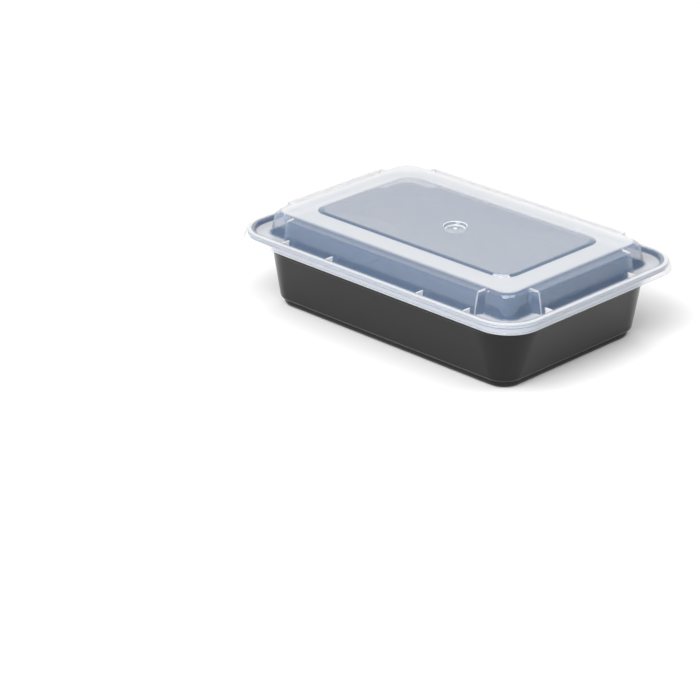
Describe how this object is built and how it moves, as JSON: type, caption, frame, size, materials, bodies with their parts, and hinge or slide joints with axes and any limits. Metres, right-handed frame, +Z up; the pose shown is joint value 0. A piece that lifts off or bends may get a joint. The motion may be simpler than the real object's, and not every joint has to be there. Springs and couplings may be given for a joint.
{
  "type": "takeaway meal container",
  "caption": "Rectangular takeaway meal container: a deep black tray with a rolled rim, closed by a clear close-fitting lid with a raised dome.",
  "frame": {"origin": "middle of the base, on the surface that the tray stands on", "axes": "+X along the length, +Y across the width, +Z up"},
  "size_m": [0.2244, 0.1534, 0.0596],
  "materials": {
    "black_plastic": "smooth black moulded polypropylene with a satin outside",
    "clear_plastic": "slightly hazy clear polypropylene with a frosted border on top"
  },
  "bodies": {
    "root": {"tray": "black_plastic", "lid": "clear_plastic"}
  },
  "joints": []
}
